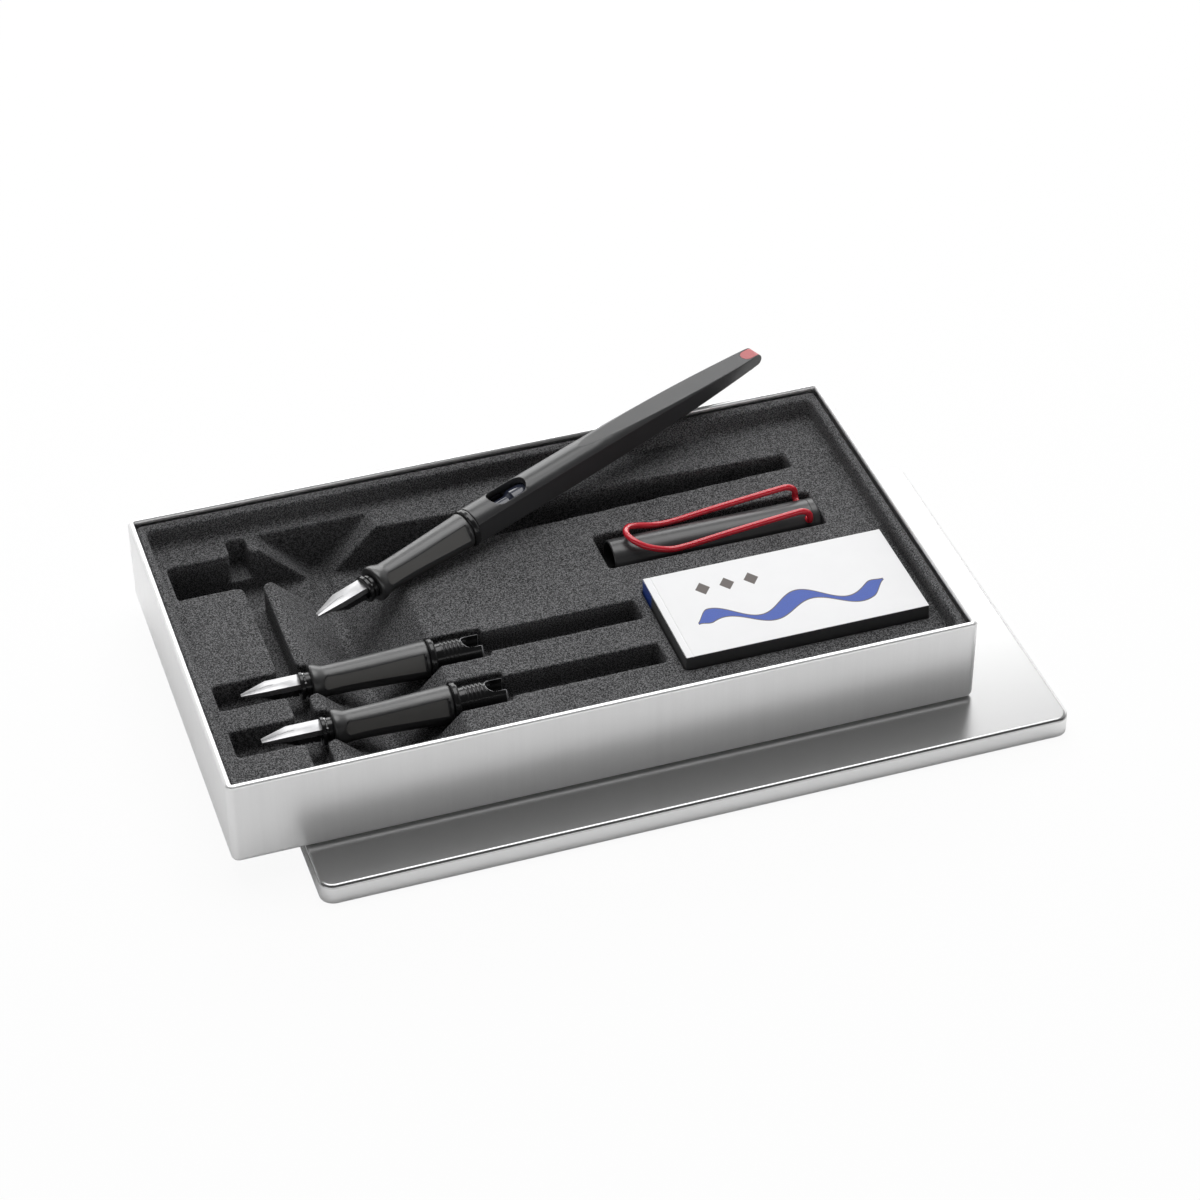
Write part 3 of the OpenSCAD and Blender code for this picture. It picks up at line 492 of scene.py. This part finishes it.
def write_flat(mesh, values):
    mesh.attributes.new("flat", "FLOAT", "FACE").data.foreach_set("value", values)


def mark_flats(piece):
    """Marks each planed flat, a face wider than 60 mm2, and nothing turned or eased."""
    write_flat(piece.data, [float(face.area > PLANED_FROM) for face in piece.data.polygons])


def settle(piece, *nodes):
    """Turns the modifiers into plain mesh and lets the piece stand for the nodes.

    Faces of the second material, the prong edges that carry a painted highlight, are marked in the "flat"
    attribute.
    """
    mesh = evaluated_mesh(piece)
    mesh.name = piece.name
    # Faces of the second material take the painted highlight.
    painted_highlight_faces = [float(face.material_index) for face in mesh.polygons]
    if any(painted_highlight_faces):
        write_flat(mesh, painted_highlight_faces)
    piece.modifiers.clear()
    piece.data = mesh
    mesh.materials.clear()
    mesh.materials.append(FINISH[SLOT_OF[nodes[0]]])
    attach(piece, BODY_OF[nodes[0]])
    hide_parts(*nodes)
    return piece


def eased_copy(node, width, segments=2, angle=28.0, smooth=True):
    """A copy of a solid with its edges sharper than angle rounded over width, in mm."""
    mesh = write_form(clean_form(node), bpy.data.meshes.new(node + "_eased"))
    for polygon in mesh.polygons:
        polygon.use_smooth = smooth
    piece = add_object(node + "_eased", mesh)
    bevel = piece.modifiers.new("edges", "BEVEL")
    bevel.width = width * MM
    bevel.segments = segments
    bevel.limit_method = "ANGLE"
    bevel.angle_limit = math.radians(angle)
    bevel.use_clamp_overlap = False
    bevel.miter_outer = "MITER_ARC"
    if smooth:
        weigh = piece.modifiers.new("normals", "WEIGHTED_NORMAL")
        weigh.keep_sharp = True
        weigh.weight = 60
    return piece


def formed_tray():
    """The tray as one drawn sheet: every edge and corner softened, the flats left flat.

    The outermost edge of its flange is turned up, to meet the box's rolled rim.
    """
    edge_width, edge_lift, top_depth = 1.0 * MM, 0.9 * MM, 0.05 * MM
    form = clean_form("tray_insert")
    low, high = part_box("tray_insert")
    for vert in form.verts:
        spot = vert.co
        inward = min(spot.x - low.x, high.x - spot.x, spot.y - low.y, high.y - spot.y)
        if spot.z > high.z - top_depth and inward < edge_width:
            spot.z += edge_lift
    piece = add_object("tray_formed", write_form(form, bpy.data.meshes.new("tray_formed")))
    sheet = piece.modifiers.new("sheet", "REMESH")
    sheet.mode = "VOXEL"
    sheet.voxel_size = 0.55 * MM
    sheet.use_smooth_shade = True
    soften = piece.modifiers.new("soft_edges", "SMOOTH")
    soften.factor = 0.5
    soften.iterations = 7
    piece.modifiers.new("fewer_faces", "DECIMATE").ratio = 0.22
    return piece


settle(formed_tray(), "tray_insert")

# The pen's axis, from the nib's edge, as the barrel is drawn along it
PEN_AXIS = Vector(next(j["axis"] for j in frame["joints"] if j["name"] == "barrel_draw"))
PEN_TURN, PEN_TILT = math.atan2(PEN_AXIS.y, PEN_AXIS.x), math.asin(PEN_AXIS.z)
# The middle of the pen's ring: in the box, and along the axis from the nib's edge
PEN_RING, RING_MIDDLE = (95.2, 92.2, 25.665), 55.75
# Each nib unit's own frame: it starts at the nib's edge, with x back along the axis
UNIT_FRAMES = {
    "pen": Matrix.Translation(at(*PEN_RING))
    @ Matrix.Rotation(PEN_TURN, 4, "Z")
    @ Matrix.Rotation(-PEN_TILT, 4, "Y")
    @ Matrix.Translation((-RING_MIDDLE * MM, 0, 0)),
    "spare_a": Matrix.Translation(at(15.1, 48.3, 16.6)),
    "spare_b": Matrix.Translation(at(15.9, 27.4, 16.6)),
}


def slit_nib(unit):
    """The bent nib with a fine slit from its edge to the shoulders."""
    length, width, height, middle_z = 9.6, 0.12, 4.0, 2.4
    piece = eased_copy(unit + "_nib", 0.07, angle=30)
    form = bmesh.new()
    bmesh.ops.create_cube(form, size=1.0)
    shape = Matrix.Diagonal((length * MM, width * MM, height * MM, 1))
    middle = Matrix.Translation((length / 2 * MM, 0, middle_z * MM))
    form.transform(UNIT_FRAMES[unit] @ middle @ shape)
    name = unit + "_slit"
    tool = add_object(name, write_form(form, bpy.data.meshes.new(name)))
    cut = piece.modifiers.new("slit", "BOOLEAN")
    cut.operation, cut.solver, cut.object = "DIFFERENCE", "EXACT", tool
    settle(piece, unit + "_nib")
    bpy.data.objects.remove(tool)


def forked_core(unit):
    """The core with the edges of its two prongs rounded, and a painted highlight on them: a light grey colour.

    Only they are rounded: the ridges of the thread stay sharp.
    """
    prong_length, root_margin, sharp_from = 6.4, 0.3, math.radians(30)
    node = unit + "_core"
    piece = eased_copy(node, 0.18, angle=30)
    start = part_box(node)[1].x - (prong_length - root_margin) * MM
    form = form_of(piece.data)
    layer = form.edges.layers.float.new("bevel_weight_edge")
    for edge in form.edges:
        sharp = len(edge.link_faces) == 2 and edge.calc_face_angle() > sharp_from
        edge[layer] = float(sharp and all(vert.co.x > start for vert in edge.verts))
    write_form(form, piece.data)
    piece.data.set_sharp_from_angle(angle=sharp_from)
    for _ in range(2):
        piece.data.materials.append(None)
    bevel = piece.modifiers["edges"]
    bevel.limit_method = "WEIGHT"
    # The rounded prong edges take the second material, which gives them the painted highlight.
    bevel.material = 1
    settle(piece, node)


def creased_carton():
    """The carton with a pressed fold line near its left end."""
    from_left, half_width, depth, top_depth = 2.1, 0.28, 0.16, 0.05
    piece = eased_copy("pack_carton", 0.14, 3, smooth=False)
    low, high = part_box("pack_carton")
    form = form_of(piece.data)
    for step in (-half_width, 0.0, half_width):
        bmesh.ops.bisect_plane(
            form, geom=form.verts[:] + form.edges[:] + form.faces[:], dist=1e-7,
            plane_co=(low.x + (from_left + step) * MM, 0, 0), plane_no=(1, 0, 0),
        )
    for vert in form.verts:
        on_line = abs(vert.co.x - low.x - from_left * MM) < 1e-6
        if on_line and vert.co.z > high.z - top_depth * MM:
            vert.co.z -= depth * MM
    write_form(form, piece.data)
    return piece


WIRE_DIAMETER, WIRE_SIDES, STEPS_PER_POINT = 1.9, 24, 6
# Half of the clip's wire, from its pin in the cap's side to the middle of its loop, in
# millimetres along, to the side and up from the middle of the cap's left end
CLIP_ROUTE = [
    (61.3, 3.43, 4.0), (61.3, 4.38, 4.0), (61.3, 5.3, 4.1), (61.3, 6.1, 4.7),
    (61.3, 6.35, 5.6), (61.2, 6.35, 6.6), (60.7, 6.35, 7.6), (59.7, 6.35, 8.4),
    (58.3, 6.35, 8.8), (56.5, 6.35, 8.75), (47.05, 6.35, 7.8), (32.8, 6.35, 6.2),
    (22.6, 6.35, 4.9), (16.5, 6.3, 4.9), (10.4, 5.55, 6.7), (6.73, 3.55, 8.3),
    (5.3, 0.0, 8.8),
]


def through(a, b, c, d, t):
    """A point between b and c on the smooth curve through all four."""
    along = (c - a) * t
    bend = (2 * a - 5 * b + 4 * c - d) * t * t
    twist = (3 * b - a - 3 * c + d) * t ** 3
    return 0.5 * (2 * b + along + bend + twist)


def clip_path():
    half = [Vector(p) for p in CLIP_ROUTE]
    route = half + [Vector((p.x, -p.y, p.z)) for p in reversed(half[:-1])]
    last = len(route) - 1
    points = [
        through(
            route[max(i - 1, 0)], route[i], route[i + 1], route[min(i + 2, last)],
            step / STEPS_PER_POINT,
        )
        for i in range(last)
        for step in range(STEPS_PER_POINT)
    ]
    return points + [route[-1]]


def wire_tree():
    """Sweeps a round wire of the given diameter along a curve and closes its ends."""
    tree, g, into, out = make_group(
        "BentWire", "GeometryNodeTree",
        [("Path", "g"), ("Wire Diameter", "f"), ("Sides", "i"), ("Finish", "m")],
        [("Wire", "g")],
    )
    ring = g.add("GeometryNodeCurvePrimitiveCircle")
    g.fill(ring, Resolution=into["Sides"], Radius=g.product(into["Wire Diameter"], 0.5))
    sweep = g.add("GeometryNodeCurveToMesh")
    g.fill(sweep, Curve=into["Path"], Profile_Curve=ring.outputs["Curve"], Fill_Caps=True)
    smooth = g.add("GeometryNodeSetShadeSmooth")
    g.link(sweep.outputs[0], smooth.inputs[0])
    real = g.add("GeometryNodeRealizeInstances")
    g.link(smooth.outputs[0], real.inputs[0])
    paint = g.add("GeometryNodeSetMaterial")
    g.fill(paint, Geometry=real.outputs[0], Material=into["Finish"])
    g.link(paint.outputs[0], out["Wire"])
    return tree


def set_input(modifier, label, value):
    for item in modifier.node_group.interface.items_tree:
        if item.item_type == "SOCKET" and item.in_out == "INPUT" and item.name == label:
            modifier[item.identifier] = value


def wire_clip():
    """The clip as one round wire, swept along its route."""
    low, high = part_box("cap_tube")
    start = Vector((low.x, (low.y + high.y) / 2, (low.z + high.z) / 2))
    path = bpy.data.curves.new("clip_path", "CURVE")
    path.dimensions = "3D"
    spline = path.splines.new("POLY")
    points = clip_path()
    spline.points.add(len(points) - 1)
    for spot, point in zip(spline.points, points):
        spot.co = (*(start + point * MM), 1)
    route = add_object("clip_path", path)
    sweep = route.modifiers.new("wire", "NODES")
    sweep.node_group = wire_tree()
    set_input(sweep, "Wire Diameter", WIRE_DIAMETER * MM)
    set_input(sweep, "Sides", WIRE_SIDES)
    set_input(sweep, "Finish", FINISH["clip_red"])
    mesh = evaluated_mesh(route)
    bpy.data.objects.remove(route)
    form = form_of(mesh)
    bmesh.ops.remove_doubles(form, verts=form.verts, dist=1e-6)
    bmesh.ops.recalc_face_normals(form, faces=form.faces)
    return add_object("clip_wire", write_form(form, mesh))


def planed_moulding(node):
    """A moulding with its edges eased and its planed flats marked."""
    mark_flats(settle(eased_copy(node, 0.16, angle=24), node))


planed_moulding("pen_barrel")
for unit in UNIT_FRAMES:
    planed_moulding(unit + "_grip")
    slit_nib(unit)
for unit in ("spare_a", "spare_b"):
    forked_core(unit)
settle(creased_carton(), "pack_carton")
settle(eased_copy("pack_end_flap", 0.1, smooth=False), "pack_end_flap")
settle(wire_clip(), "cap_clip")


# ------------------------------------------------------------------ stage and light

WHITE = (1, 1, 1, 1)
# Level, and away from the camera
BACK = (0.31, 0.95, 0.0)


def stage_floor():
    """A matt white table that glows white to the camera, and still takes soft shadows."""
    half, glow_share = 4, 0.93
    mesh = bpy.data.meshes.new("table")
    corners = [(-half, -half, 0), (half, -half, 0), (half, half, 0), (-half, half, 0)]
    mesh.from_pydata(corners, [], [(0, 1, 2, 3)])
    floor = add_object("table", mesh)
    material, g, surface = new_material("table_white")
    g.fill(surface, Base_Color=(0.86, 0.86, 0.86, 1), Roughness=0.9)
    glow = g.add("ShaderNodeEmission")
    g.fill(glow, Color=WHITE)
    path = g.add("ShaderNodeLightPath").outputs
    seen = g.math("MAXIMUM", path["Is Camera Ray"], path["Is Transmission Ray"])
    mix = g.add("ShaderNodeMixShader")
    shown = (g.product(seen, glow_share), surface.outputs[0], glow.outputs[0])
    for i, value in enumerate(shown):
        g.link(value, mix.inputs[i])
    g.link(mix.outputs[0], material.node_tree.nodes["Material Output"].inputs["Surface"])
    mesh.materials.append(material)


def studio_world():
    """White to the camera. For light and gloss, a dome that is bright at the back and dark
    in front, with a bright band low at the back and a weaker one low in front."""
    world = bpy.data.worlds.new("studio")
    bpy.context.scene.world = world
    world.use_nodes = True
    g = Graph(world.node_tree)
    direction = g.add("ShaderNodeTexCoord").outputs["Generated"]
    lean = g.add("ShaderNodeVectorMath", operation="DOT_PRODUCT")
    g.link(direction, lean.inputs[0])
    lean.inputs[1].default_value = BACK
    back, height = lean.outputs["Value"], g.split(direction)["Z"]
    dome = g.spread(back, -0.25, 0.5, 0.10, 0.6, smooth=True)
    back_band = g.product(
        g.spread(height, 0.18, 0.42, 2.6, 0.0, smooth=True),
        g.spread(back, 0.45, 0.8, 0.0, 1.0, smooth=True),
    )
    front_band = g.product(
        g.spread(back, -0.7, -0.3, 1.5, 0.0), g.spread(height, 0.15, 0.4, 1.0, 0.0)
    )
    glow = g.math("ADD", g.math("ADD", dome, back_band), front_band)
    level = g.add("ShaderNodeMix", data_type="FLOAT")
    g.link(g.add("ShaderNodeLightPath").outputs["Is Camera Ray"], level.inputs[0])
    g.link(glow, level.inputs[2])
    level.inputs[3].default_value = 1.0
    g.fill(world.node_tree.nodes["Background"], Strength=level.outputs[0], Color=WHITE)


def softbox(name, place, width, height, power):
    """A rectangular lamp that looks at the middle of the frame."""
    data = bpy.data.lights.new(name, "AREA")
    data.shape = "RECTANGLE"
    data.size, data.size_y = width, height
    data.energy = power
    lamp = add_object(name, data)
    turn = (-Vector(place)).to_track_quat("-Z", "Y").to_matrix().to_4x4()
    lamp.matrix_world = Matrix.Translation(place) @ turn


stage_floor()
studio_world()
softbox("overhead", (0.05, 0.25, 1.0), 1.1, 0.65, 7.0)
softbox("behind", (0.25, 0.95, 0.6), 0.9, 0.35, 3.6)

bpy.context.scene.view_settings.view_transform = "Standard"
